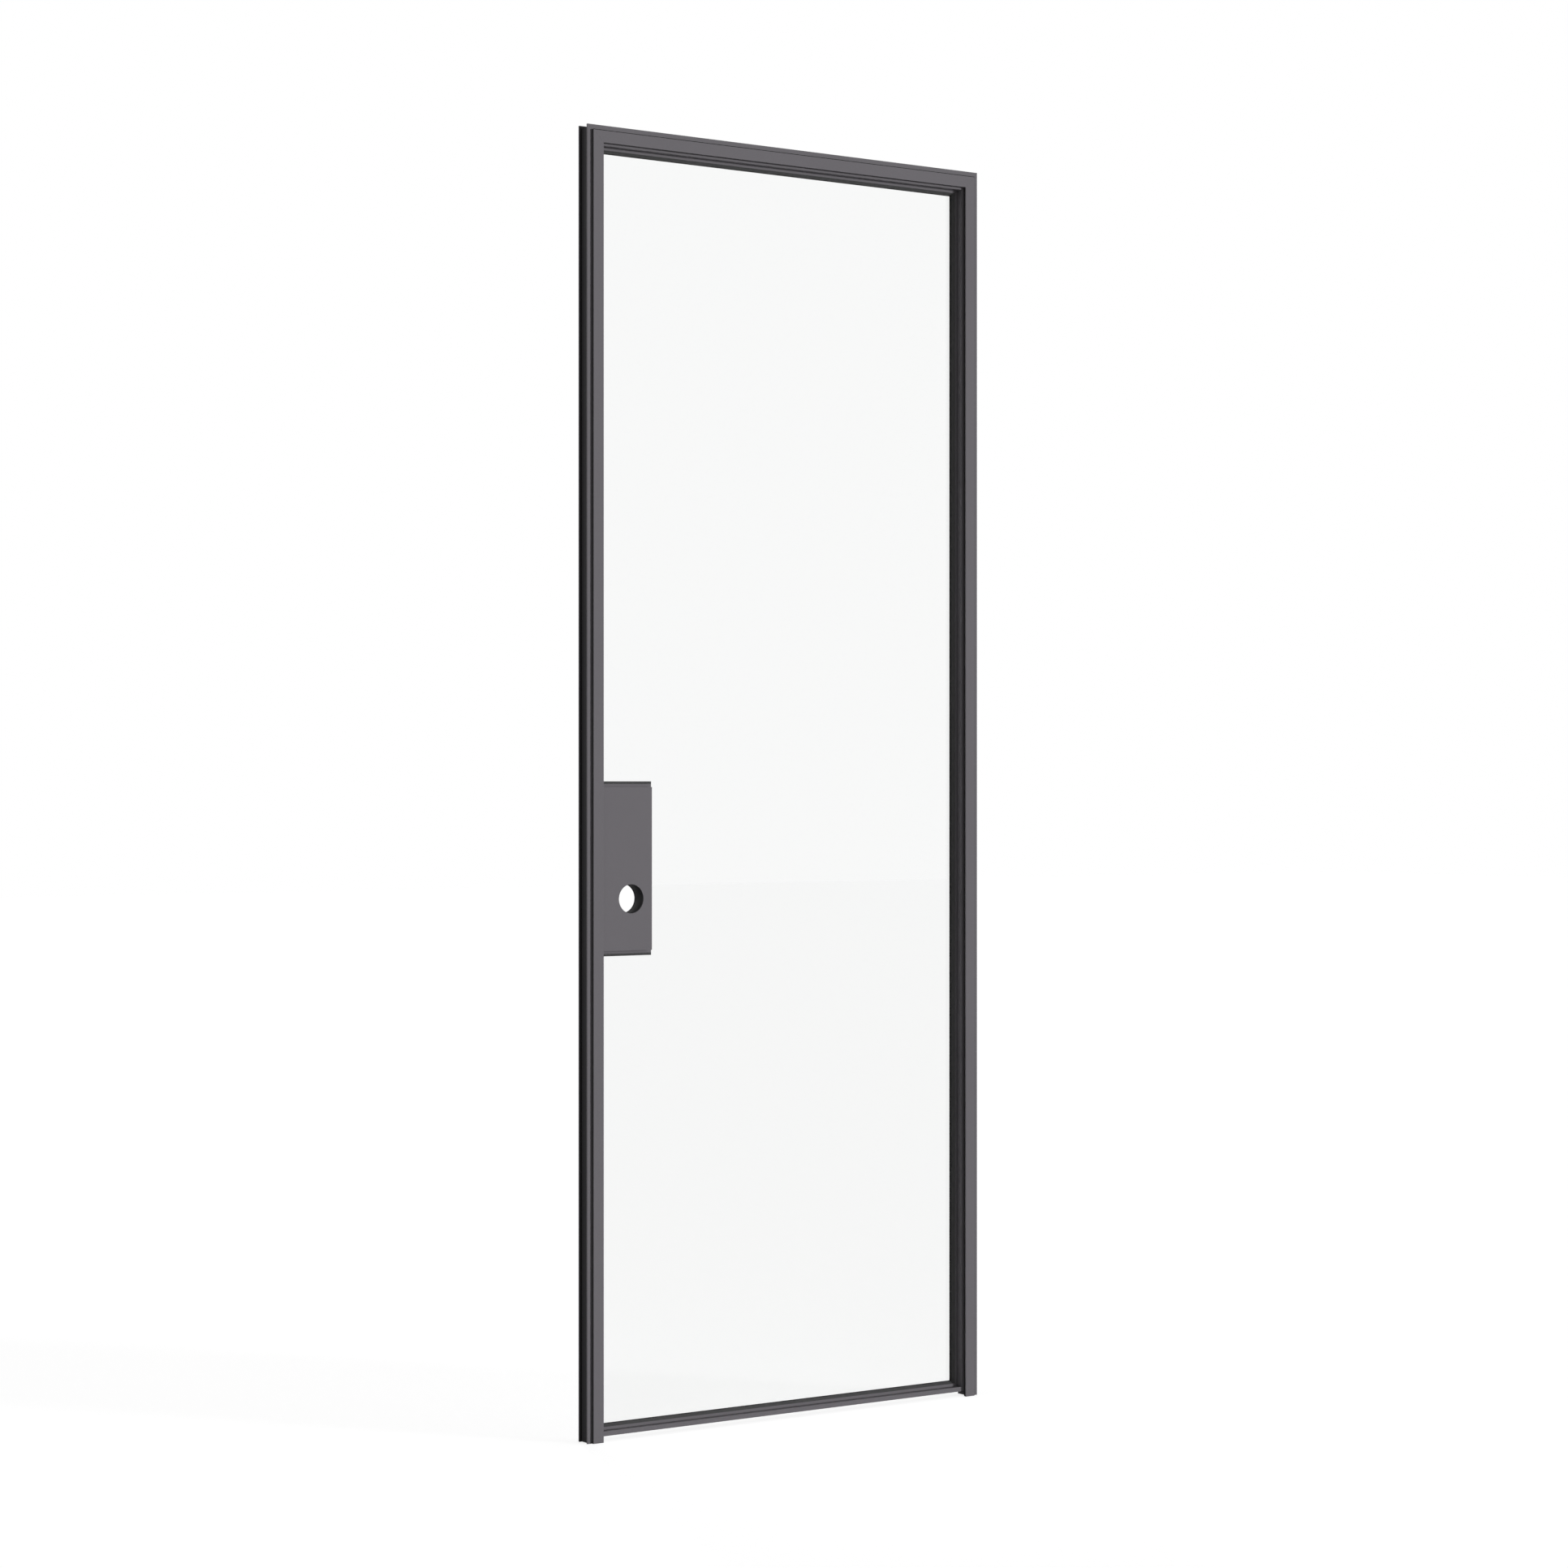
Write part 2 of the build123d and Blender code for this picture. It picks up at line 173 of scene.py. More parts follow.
class DoorFinish(bpy.types.PropertyGroup):
    """Colours and fine detail of the door's surfaces."""

    metal_colour: FloatVectorProperty(
        name="Metal Colour",
        description="Colour of the coat on the frame and the leaf",
        subtype="COLOR",
        size=4,
        min=0.0,
        max=1.0,
        default=(0.1415, 0.1345, 0.1452, 1.0),
    )
    # Painted shade: a near-black colour that stands for the shadow in the wall channel and the bore
    painted_shade_colour: FloatVectorProperty(
        name="Painted Shade Colour",
        # Painted shade: near-black colour inside the channel that takes the wall and inside the
        # lock's bore
        description="Colour inside the channel that takes the wall and inside the lock's bore",
        subtype="COLOR",
        size=4,
        min=0.0,
        max=1.0,
        default=(0.034, 0.033, 0.035, 1.0),
    )
    wedge_colour: FloatVectorProperty(
        name="Wedge Colour",
        description="Colour of the glazing wedges that line the slopes of the beads",
        subtype="COLOR",
        size=4,
        min=0.0,
        max=1.0,
        default=(0.074, 0.074, 0.075, 1.0),
    )
    metal_roughness: FloatProperty(
        name="Metal Roughness",
        description="How matt the coat is",
        min=0.0,
        max=1.0,
        default=0.48,
    )
    metal_sheen: FloatProperty(
        name="Metal Sheen",
        description="How much of the room the coat reflects",
        min=0.0,
        max=1.0,
        default=0.1,
    )
    coat_grain: FloatProperty(
        name="Coat Grain",
        description="Distance between the bumps of the coat",
        unit="LENGTH",
        min=0.0001,
        default=1.1 * MM,
    )
    edge_radius: FloatProperty(
        name="Edge Radius",
        description="Rounding of the metal's edges",
        unit="LENGTH",
        min=0.0,
        default=0.25 * MM,
    )
    rubber_colour: FloatVectorProperty(
        name="Rubber Colour",
        # Colour of the seals and the gaskets, also used for the painted shade strips on the stop
        # trims
        description="Colour of the seals, the gaskets and the strips on the stop trims",
        subtype="COLOR",
        size=4,
        min=0.0,
        max=1.0,
        default=(0.012, 0.012, 0.0125, 1.0),
    )
    steel_colour: FloatVectorProperty(
        name="Steel Colour",
        description="Colour of the hinges, the strike plate and their screws",
        subtype="COLOR",
        size=4,
        min=0.0,
        max=1.0,
        default=(0.33, 0.33, 0.34, 1.0),
    )
    glass_colour: FloatVectorProperty(
        name="Glass Colour",
        description="Tint of the pane",
        subtype="COLOR",
        size=4,
        min=0.0,
        max=1.0,
        default=(0.937, 0.942, 0.939, 1.0),
    )
    shade_strip_width: FloatProperty(
        name="Shade Strip Width",
        # Width of the painted shade strip on the outer side of the stop trims
        description="Width of the dark strip on the outer side of the stop trims",
        unit="LENGTH",
        min=0.0005,
        default=1.25 * MM,
    )
    screw_radius: FloatProperty(
        name="Screw Radius",
        description="Radius of a screw's head",
        unit="LENGTH",
        min=0.001,
        default=3.4 * MM,
    )
    screw_sides: IntProperty(
        name="Screw Sides",
        description="Sides of a screw's head",
        min=8,
        default=40,
    )


class DoorStage(bpy.types.PropertyGroup):
    """Camera, lights, room and floor."""

    camera_place: FloatVectorProperty(
        name="Camera Place",
        description="Where the camera stands",
        subtype="TRANSLATION",
        size=3,
        default=(-4.3376, -5.525, 1.2186),
    )
    camera_heading: FloatProperty(
        name="Camera Heading",
        description="Angle from straight ahead to the right",
        subtype="ANGLE",
        default=math.radians(35.1),
    )
    lens_length: FloatProperty(
        name="Lens Length",
        description="Focal length in millimetres",
        min=1.0,
        default=80.58,
    )
    horizon_shift: FloatProperty(
        name="Horizon Shift",
        description="Share of the picture that the view is raised by",
        default=0.0001,
    )
    key_strength: FloatProperty(
        name="Key Strength",
        description="Strength of the main light",
        min=0.0,
        default=2.6,
    )
    key_side: FloatProperty(
        name="Key Side",
        description="Angle of the main light to the right of the door's front",
        subtype="ANGLE",
        default=math.radians(36),
    )
    key_height: FloatProperty(
        name="Key Height",
        description="Angle of the lights above the floor",
        subtype="ANGLE",
        default=math.radians(4),
    )
    key_softness: FloatProperty(
        name="Key Softness",
        description="Angle that each light fills",
        subtype="ANGLE",
        min=0.0,
        default=math.radians(8),
    )
    side_strength: FloatProperty(
        name="Side Strength",
        description="Strength of the light from the left",
        min=0.0,
        default=0.8,
    )
    side_angle: FloatProperty(
        name="Side Angle",
        description="Angle of the left light to the right of the door's front",
        subtype="ANGLE",
        default=math.radians(-92),
    )
    back_strength: FloatProperty(
        name="Back Strength",
        description="Strength of the light from behind",
        min=0.0,
        default=2.2,
    )
    back_angle: FloatProperty(
        name="Back Angle",
        description="Angle of the light from behind to the right of the door's front",
        subtype="ANGLE",
        default=math.radians(158),
    )
    room_light: FloatProperty(
        name="Room Light",
        description="Light that the room sends from the main light's side",
        min=0.0,
        default=0.5,
    )
    room_shade: FloatProperty(
        name="Room Shade",
        description="Light that the room sends from the other side",
        min=0.0,
        default=0.16,
    )
    mirror_light: FloatProperty(
        name="Mirror Light",
        description="Brightness of reflections in line with the main light, on either side",
        min=0.0,
        default=1.0,
    )
    mirror_shade: FloatProperty(
        name="Mirror Shade",
        description="Brightness of reflections at right angles to the main light",
        min=0.0,
        default=0.3,
    )
    floor_size: FloatProperty(
        name="Floor Size",
        description="Width of the floor",
        unit="LENGTH",
        min=1.0,
        default=60.0,
    )
    floor_tone: FloatProperty(
        name="Floor Tone",
        description="How much light the floor throws back",
        min=0.0,
        max=1.0,
        default=0.8,
    )
    floor_glow: FloatProperty(
        name="Floor Glow",
        description="Light that makes the floor look white to the camera",
        min=0.0,
        default=0.82,
    )
    shadow_tone: FloatProperty(
        name="Shadow Tone",
        description="How much of the shadow shows on the floor",
        min=0.0,
        max=1.0,
        default=0.5,
    )


class NodeTree:
    """Adds nodes to a tree and joins them, with less to write."""

    def __init__(self, tree):
        self.tree = tree

    def feed(self, socket, value):
        """Joins another node's output to a socket, or sets the socket to a plain value."""
        if isinstance(value, bpy.types.NodeSocket):
            self.tree.links.new(value, socket)
        else:
            socket.default_value = value

    def add(self, kind, sockets=None, **values):
        """A new node, with its values set and then its input sockets fed."""
        node = self.tree.nodes.new(kind)
        for name, value in values.items():
            setattr(node, name, value)
        for socket, value in (sockets or {}).items():
            self.feed(node.inputs[socket], value)
        return node

    def coordinates(self, kind):
        """Texture coordinates of a kind."""
        return self.add("ShaderNodeTexCoord").outputs[kind]

    def noise(self, place, scale, detail, roughness=0.5):
        """Noise at a place, from 0 to 1. Scale is in bumps for each metre."""
        sockets = {"Vector": place, "Scale": scale, "Detail": detail, "Roughness": roughness}
        return self.add("ShaderNodeTexNoise", sockets).outputs["Fac"]

    def math(self, operation, first, second=0.0):
        """The result of an operation on one or two numbers."""
        node = self.add("ShaderNodeMath", {0: first, 1: second}, operation=operation)
        return node.outputs["Value"]

    def vector(self, operation, first, second=(0.0, 0.0, 0.0), output="Vector"):
        """The result of an operation on one or two vectors."""
        node = self.add("ShaderNodeVectorMath", {0: first, 1: second}, operation=operation)
        return node.outputs[output]

    def spread(self, value, old, new):
        """Maps a value from one range to another, each given as (low, high)."""
        sockets = {
            "Value": value,
            "From Min": old[0],
            "From Max": old[1],
            "To Min": new[0],
            "To Max": new[1],
        }
        return self.add("ShaderNodeMapRange", sockets).outputs["Result"]


def new_group(name, inputs, outputs):
    """A shader node group as (group, tree, input node, output node).

    An input is a name, a socket type and a default. An output is a name and a socket type.
    """
    group = bpy.data.node_groups.new(name, "ShaderNodeTree")
    for socket_name, socket_type, default in inputs:
        socket = group.interface.new_socket(
            socket_name, in_out="INPUT", socket_type=socket_type
        )
        socket.default_value = default
    for socket_name, socket_type in outputs:
        group.interface.new_socket(socket_name, in_out="OUTPUT", socket_type=socket_type)
    tree = NodeTree(group)
    return group, tree, tree.add("NodeGroupInput"), tree.add("NodeGroupOutput")


def send_surface(tree, given, made, tone, matt, height, bump_height, bump_strength):
    """Sends out the given colour times a tone, the given roughness plus a change, and bumps."""
    colour = tree.add(
        "ShaderNodeVectorMath",
        {"Vector": given.outputs["Colour"], "Scale": tone},
        operation="SCALE",
    )
    bump = tree.add(
        "ShaderNodeBump",
        {"Distance": bump_height, "Strength": bump_strength, "Height": height},
    )
    tree.feed(made.inputs["Colour"], colour.outputs["Vector"])
    tree.feed(made.inputs["Roughness"], tree.math("ADD", given.outputs["Roughness"], matt))
    tree.feed(made.inputs["Normal"], bump.outputs["Normal"])


def coat_group(name):
    """Satin powder coat: fine bumps, a faint drift of tone and rubbed patches that shine more."""
    group, tree, given, made = new_group(
        name,
        (
            ("Colour", COLOUR, (0.12, 0.12, 0.12, 1.0)),
            ("Roughness", NUMBER, 0.5),
            ("Grain", NUMBER, 900.0),
            ("Bump", NUMBER, 0.12),
        ),
        SURFACE_OUTPUTS,
    )
    place = tree.coordinates("Object")
    grain = given.outputs["Grain"]
    flecks_for_a_bump = 2.6
    flecks = tree.noise(place, tree.math("MULTIPLY", grain, flecks_for_a_bump), detail=1.0)
    drift = tree.noise(place, scale=2.3, detail=3.0)
    rubbed = tree.noise(place, scale=9.0, detail=4.0, roughness=0.62)
    send_surface(
        tree,
        given,
        made,
        tone=tree.math(
            "ADD",
            tree.spread(flecks, old=(0.25, 0.75), new=(-0.07, 0.07)),
            tree.spread(drift, old=(0.3, 0.7), new=(0.97, 1.03)),
        ),
        matt=tree.spread(rubbed, old=(0.3, 0.75), new=(0.05, -0.06)),
        height=tree.noise(place, grain, detail=2.0),
        bump_height=0.12 * MM,
        bump_strength=given.outputs["Bump"],
    )
    return group


def brushed_group(name):
    """Steel brushed along one direction, with fine lines in tone, gloss and height."""
    group, tree, given, made = new_group(
        name,
        (
            ("Colour", COLOUR, (0.3, 0.3, 0.3, 1.0)),
            ("Roughness", NUMBER, 0.35),
            ("Stretch", VECTOR, (1.0, 1.0, 0.02)),
        ),
        SURFACE_OUTPUTS,
    )
    place = tree.coordinates("Object")
    stretched = tree.vector("MULTIPLY", place, given.outputs["Stretch"])
    lines = tree.noise(stretched, scale=5200.0, detail=3.0, roughness=0.6)
    handled = tree.noise(place, scale=60.0, detail=3.0)
    send_surface(
        tree,
        given,
        made,
        tone=tree.spread(lines, old=(0.25, 0.75), new=(0.86, 1.12)),
        matt=tree.math(
            "ADD",
            tree.spread(lines, old=(0.2, 0.8), new=(-0.06, 0.08)),
            tree.spread(handled, old=(0.3, 0.7), new=(-0.04, 0.05)),
        ),
        height=lines,
        bump_height=0.03 * MM,
        bump_strength=0.3,
    )
    return group


def rubber_group(name):
    """Matt rubber: a pebbled skin with a faint bloom."""
    group, tree, given, made = new_group(
        name,
        (
            ("Colour", COLOUR, (0.012, 0.012, 0.012, 1.0)),
            ("Roughness", NUMBER, 0.75),
        ),
        SURFACE_OUTPUTS,
    )
    place = tree.coordinates("Object")
    pebble = tree.noise(place, scale=2400.0, detail=2.0)
    bloom = tree.noise(place, scale=35.0, detail=4.0, roughness=0.6)
    send_surface(
        tree,
        given,
        made,
        tone=tree.spread(bloom, old=(0.3, 0.75), new=(0.85, 1.5)),
        matt=tree.spread(pebble, old=(0.3, 0.7), new=(-0.08, 0.08)),
        height=pebble,
        bump_height=0.06 * MM,
        bump_strength=0.35,
    )
    return group


def throat_group(name):
    """1 inside the channel that takes the wall's edge, where shade is painted, 0 elsewhere on the
    frame.
    """
    group, tree, given, made = new_group(
        name,
        (
            ("Half Width", NUMBER, 0.0),
            ("Hinge Wall", NUMBER, 0.0),
            ("Strike Wall", NUMBER, 0.0),
            ("Head Wall", NUMBER, 0.0),
        ),
        MASK_OUTPUTS,
    )
    place = tree.add("ShaderNodeSeparateXYZ", {"Vector": tree.coordinates("Object")})
    x, y, z = (place.outputs[axis] for axis in "XYZ")
    between = tree.math("LESS_THAN", tree.math("ABSOLUTE", y), given.outputs["Half Width"])
    hinge_edge = tree.math("SUBTRACT", given.outputs["Hinge Wall"], THROAT_SLACK)
    strike_edge = tree.math("ADD", given.outputs["Strike Wall"], THROAT_SLACK)
    head_edge = tree.math("SUBTRACT", given.outputs["Head Wall"], THROAT_SLACK)
    hinge = tree.math("GREATER_THAN", x, hinge_edge)
    strike = tree.math("LESS_THAN", x, strike_edge)
    head = tree.math("GREATER_THAN", z, head_edge)
    outside = tree.math("MAXIMUM", tree.math("MAXIMUM", hinge, strike), head)
    tree.feed(made.inputs["Mask"], tree.math("MULTIPLY", between, outside))
    return group


def bore_group(name):
    """1 on the wall of the bore through the lock case, where shade is painted, 0 elsewhere."""
    group, tree, given, made = new_group(
        name,
        (
            ("Centre", VECTOR, (0.0, 0.0, 0.0)),
            ("Radius", NUMBER, 0.0),
        ),
        MASK_OUTPUTS,
    )
    away = tree.vector("SUBTRACT", tree.coordinates("Object"), given.outputs["Centre"])
    across = tree.vector("MULTIPLY", away, (1.0, 0.0, 1.0))
    distance = tree.vector("LENGTH", across, output="Value")
    inside = tree.math("LESS_THAN", distance, given.outputs["Radius"])
    tree.feed(made.inputs["Mask"], inside)
    return group


def slope_group(name):
    """1 on the slopes of the beads, which face neither straight ahead nor sideways, 0 elsewhere."""
    group, tree, given, made = new_group(
        name,
        (
            ("Steepest", NUMBER, 0.3),
            ("Flattest", NUMBER, 0.9),
        ),
        MASK_OUTPUTS,
    )
    facing = tree.add("ShaderNodeSeparateXYZ", {"Vector": tree.coordinates("Normal")})
    ahead = tree.math("ABSOLUTE", facing.outputs["Y"])
    above = tree.math("GREATER_THAN", ahead, given.outputs["Steepest"])
    below = tree.math("LESS_THAN", ahead, given.outputs["Flattest"])
    tree.feed(made.inputs["Mask"], tree.math("MULTIPLY", above, below))
    return group


GROUP_BUILDERS = {
    "Satin Coat": coat_group,
    "Brushed Lines": brushed_group,
    "Matt Rubber": rubber_group,
    "Throat Shade Mask": throat_group,
    "Bore Shade Mask": bore_group,
    "Slope Mask": slope_group,
}


def shared_group(name):
    """The node group of that name, built when it's first asked for."""
    return bpy.data.node_groups.get(name) or GROUP_BUILDERS[name](name)


def shader_of(material):
    """A material's Principled shader."""
    nodes = material.node_tree.nodes
    return next(node for node in nodes if node.type == "BSDF_PRINCIPLED")


def new_material(name):
    """A material with only its Principled shader, as (material, tree, shader)."""
    material = bpy.data.materials.new(name)
    material.use_nodes = True
    return material, NodeTree(material.node_tree), shader_of(material)


def grouped_material(name, group_name, **values):
    """The material of that name. Its colour, roughness and normal come from a shared group."""
    material = bpy.data.materials.get(name)
    if material:
        return material
    material, tree, shader = new_material(name)
    group = tree.add("ShaderNodeGroup", values, node_tree=shared_group(group_name))
    tree.feed(shader.inputs["Base Color"], group.outputs["Colour"])
    tree.feed(shader.inputs["Roughness"], group.outputs["Roughness"])
    tree.feed(shader.inputs["Normal"], group.outputs["Normal"])
    return material


def metal_material():
    """The coat on the stiles and the rails."""
    finish = bpy.context.scene.door_finish
    material = grouped_material(
        "dark_grey_coat",
        "Satin Coat",
        Colour=finish.metal_colour,
        Roughness=finish.metal_roughness,
        Grain=1.0 / finish.coat_grain,
        Bump=0.6,
    )
    shader_of(material).inputs["Specular IOR Level"].default_value = finish.metal_sheen
    return material


def two_tone_material(name, colour, mask_name, values=None):
    """The coat, with another colour where a mask group says so."""
    made = bpy.data.materials.get(name)
    if made:
        return made
    made = metal_material().copy()
    made.name = name
    nodes = made.node_tree.nodes
    coat_nodes = shared_group("Satin Coat")
    coat = next(node for node in nodes if getattr(node, "node_tree", None) == coat_nodes)
    tree = NodeTree(made.node_tree)
    mask = tree.add("ShaderNodeGroup", values, node_tree=shared_group(mask_name))
    plain = bpy.context.scene.door_finish.metal_colour
    sockets = {"Factor": mask.outputs["Mask"], "A": plain, "B": colour}
    mix = tree.add("ShaderNodeMix", sockets, data_type="RGBA")
    tree.feed(coat.inputs["Colour"], mix.outputs["Result"])
    return made


def mount(name):
    """The record's mount of that name."""
    return next(entry for entry in frame["record"]["mounts"] if entry["name"] == name)


def frame_material():
    """The coat, with painted shade inside the channel that takes the wall."""
    values = {
        "Half Width": THROAT_HALF_WIDTH,
        "Hinge Wall": mount("hinge_wall_face")["pos_m"][0],
        "Strike Wall": mount("strike_wall_face")["pos_m"][0],
        "Head Wall": mount("head_wall_face")["pos_m"][2],
    }
    # Painted shade: the channel is darkened with a near-black colour in place of its shadow
    painted_shade = bpy.context.scene.door_finish.painted_shade_colour
    return two_tone_material("coated_frame", painted_shade, "Throat Shade Mask", values)


def bead_material():
    """The coat, with the colour of glazing wedges on the slopes."""
    wedge = bpy.context.scene.door_finish.wedge_colour
    return two_tone_material("coated_bead", wedge, "Slope Mask")


def case_material():
    """The coat, with painted shade inside the bore."""
    bore = mount("lock_bore")
    values = {
        "Centre": bore["pos_m"],
        "Radius": bore["dims"]["r_mm"] * MM + BORE_SLACK,
    }
    # Painted shade: the bore's wall is darkened with a near-black colour in place of its shadow
    painted_shade = bpy.context.scene.door_finish.painted_shade_colour
    return two_tone_material("coated_lock_case", painted_shade, "Bore Shade Mask", values)


def rubber_material():
    """The rubber of the seals and the gaskets, also used for the painted shade strips on the trims.
    """
    rubber = bpy.context.scene.door_finish.rubber_colour
    material = grouped_material("black_rubber", "Matt Rubber", Colour=rubber, Roughness=0.75)
    shader_of(material).inputs["Specular IOR Level"].default_value = 0.25
    return material


def steel_material():
    """The steel of the hinges, the strike plate and their screws."""
    steel = bpy.context.scene.door_finish.steel_colour
    material = grouped_material("satin_steel", "Brushed Lines", Colour=steel, Roughness=0.36)
    shader_of(material).inputs["Metallic"].default_value = 1.0
    return material


def glass_material():
    """Clear glass with a faint haze where it has been wiped."""
    material, tree, shader = new_material("clear_glass")
    shader.inputs["Base Color"].default_value = bpy.context.scene.door_finish.glass_colour
    shader.inputs["Transmission Weight"].default_value = 1.0
    shader.inputs["IOR"].default_value = 1.5
    haze = tree.noise(tree.coordinates("Object"), scale=5.0, detail=3.0, roughness=0.6)
    roughness = tree.spread(haze, old=(0.35, 0.8), new=(0.0, 0.012))
    tree.feed(shader.inputs["Roughness"], roughness)
    return material


def dress(names, material):
    """Gives CAD pieces a material through their slots."""
    for name in names:
        piece = NODES[name]
        if not piece.material_slots:
            piece.data.materials.append(material)
        for slot in piece.material_slots:
            slot.material = material


def soften(names, radius):
    """Rounds the edges of CAD pieces a little."""
    for name in names:
        piece = NODES[name]
        weld = piece.modifiers.new("Join Corners", "WELD")
        weld.merge_threshold = WELD_DISTANCE
        bevel = piece.modifiers.new("Round Edges", "BEVEL")
        bevel.width = radius
        bevel.segments = 2
        bevel.limit_method = "ANGLE"
        bevel.angle_limit = ROUNDED_TURN
        bevel.harden_normals = True


def add_mesh(name, mesh, material, body):
    """Links a mesh as a piece that rides on a body."""
    piece = bpy.data.objects.new(name, mesh)
    bpy.context.scene.collection.objects.link(piece)
    piece.data.materials.append(material)
    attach(piece, body)
    return piece


def mesh_of(bm, name):
    """The mesh that an edit mesh holds, which is freed."""
    mesh = bpy.data.meshes.new(name)
    bm.to_mesh(mesh)
    bm.free()
    return mesh


def bar_between(low, high):
    """A mesh of a straight bar between two corners, with its edges rounded a little."""
    size = [high[axis] - low[axis] for axis in range(3)]
    bm = bmesh.new()
    bmesh.ops.create_cube(bm, size=1.0)
    for vert in bm.verts:
        vert.co = Vector(low[axis] + (vert.co[axis] + 0.5) * size[axis] for axis in range(3))
    bmesh.ops.bevel(bm, geom=bm.edges[:], offset=SHADE_STRIP_EDGE, segments=2, affect="EDGES")
    return mesh_of(bm, "bar")


def tube_along(length, section, long_axis, wide_axis):
    """A mesh that carries a section along an axis from 0.

    The section's points are (wide, depth), and depth runs along Y.
    """
    bm = bmesh.new()
    rings = []
    for distance in (0.0, length):
        ring = []
        for wide, depth in section:
            place = Vector((0.0, depth, 0.0))
            place[wide_axis] = wide
            place[long_axis] = distance
            ring.append(bm.verts.new(place))
        rings.append(ring)
    first, last = rings
    for side in range(len(section)):
        after = (side + 1) % len(section)
        bm.faces.new((first[side], first[after], last[after], last[side]))
    for ring in rings:
        bm.faces.new(ring)
    bmesh.ops.recalc_face_normals(bm, faces=bm.faces)
    mesh = mesh_of(bm, "tube")
    for polygon in mesh.polygons:
        polygon.use_smooth = len(polygon.vertices) == 4
    return mesh


def bulb_section(width, depth):
    """A foot of the full width at the front and a round bulb behind it, as (wide, depth) points."""
    foot = SEAL_FOOT * depth
    neck = SEAL_NECK * width
    middle = width / 2
    radius = min(width / 2, (depth - foot) / 2)
    start = math.asin(min(1.0, neck / radius))
    points = [(0.0, 0.0), (width, 0.0), (width, foot), (middle + neck, foot)]
    for step in range(SEAL_SIDES + 1):
        angle = start + (2 * math.pi - 2 * start) * step / SEAL_SIDES
        wide = middle + radius * math.sin(angle)
        points.append((wide, depth - radius - radius * math.cos(angle)))
    return points + [(middle - neck, foot), (0.0, foot)]


def screw_height(share, angle_share):
    """Height of a screw's head as a share of its radius.

    The place is given by its distance from the middle as a share of the radius, and by its
    share of a full turn.
    """
    height = SCREW_DOME * (1 - share**2)
    turned = (angle_share * CROSS_ARMS) % 1.0
    in_arm = share < CROSS_REACH and min(turned, 1.0 - turned) < CROSS_HALF_ARM
    if in_arm or share < CROSS_CORE:
        height -= CROSS_DEPTH * (1 - share)
    return height


def screw_mesh(name, radius, sides):
    """A screw's head on Z: a low dome with a cross recess, and a rim down at the plate."""
    bm = bmesh.new()
    made = []
    for share in SCREW_RINGS:
        ring = []
        for side in range(sides):
            angle = 2 * math.pi * side / sides
            place = (
                radius * share * math.cos(angle),
                radius * share * math.sin(angle),
                radius * screw_height(share, side / sides),
            )
            ring.append(bm.verts.new(place))
        made.append(ring)
    for inner, outer in zip(made, made[1:]):
        for side in range(sides):
            after = (side + 1) % sides
            bm.faces.new((inner[side], outer[side], outer[after], inner[after]))
    bmesh.ops.remove_doubles(bm, verts=bm.verts, dist=WELD_DISTANCE)
    bmesh.ops.recalc_face_normals(bm, faces=bm.faces)
    return mesh_of(bm, name)


def add_screws(name, places, outward, body):
    """Screw heads at some places that face one way, joined in one piece."""
    finish = bpy.context.scene.door_finish
    head = screw_mesh(name + "_head", finish.screw_radius, finish.screw_sides)
    face = Vector((0, 0, 1)).rotation_difference(Vector(outward)).to_matrix().to_4x4()
    bm = bmesh.new()
    for number, place in enumerate(places):
        start = len(bm.verts)
        bm.from_mesh(head)
        bm.verts.ensure_lookup_table()
        spin = Matrix.Rotation(SCREW_TURN * number, 4, "Z")
        turn = Matrix.Translation(place) @ face @ spin
        bmesh.ops.transform(bm, matrix=turn, verts=bm.verts[start:])
    bpy.data.meshes.remove(head)
    add_mesh(name, mesh_of(bm, name), steel_material(), body)


class DOOR_OT_frame_metal(bpy.types.Operator):
    """Coat the jambs, the head and the stop trims"""

    bl_idname = "door.frame_metal"
    bl_label = "Frame Metal"

    def execute(self, context):
        dress(FRAME_METAL, frame_material())
        soften(FRAME_METAL, context.scene.door_finish.edge_radius)
        return {"FINISHED"}


class DOOR_OT_leaf_metal(bpy.types.Operator):
    """Coat the stiles, the rails, the beads and the lock case"""

    bl_idname = "door.leaf_metal"
    bl_label = "Leaf Metal"

    def execute(self, context):
        dress(LEAF_METAL, metal_material())
        dress(BEADS, bead_material())
        dress(CASE_METAL, case_material())
        soften(LEAF_METAL + BEADS + CASE_METAL, context.scene.door_finish.edge_radius)
        return {"FINISHED"}


class DOOR_OT_glass(bpy.types.Operator):
    """Make the pane clear"""

    bl_idname = "door.glass"
    bl_label = "Glass"

    def execute(self, context):
        dress(("glass_pane",), glass_material())
        return {"FINISHED"}


